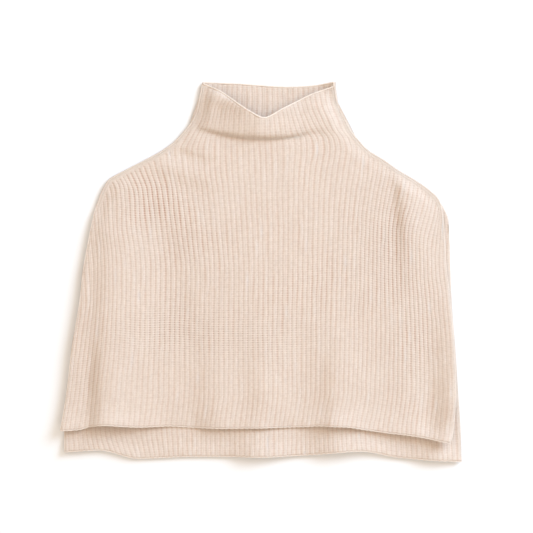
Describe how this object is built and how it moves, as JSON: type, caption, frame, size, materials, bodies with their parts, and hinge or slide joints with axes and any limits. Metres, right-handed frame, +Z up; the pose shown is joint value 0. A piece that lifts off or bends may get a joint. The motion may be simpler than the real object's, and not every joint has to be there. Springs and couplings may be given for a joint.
{
  "type": "poncho",
  "caption": "Ribbed knit poncho with a funnel neck, laid flat on its back: the front panel lies on a longer back panel, with open sides.",
  "frame": {"origin": "on the floor, under the middle of the garment's bounding box", "axes": "+X across the garment, +Y from the hem to the neck, +Z up from the floor, out of the front panel"},
  "size_m": [0.6196, 0.586, 0.0289],
  "materials": {
    "wool": "soft matt rib knit in pale undyed wool"
  },
  "bodies": {
    "root": {"back_panel": "wool", "front_panel": "wool"}
  },
  "joints": []
}
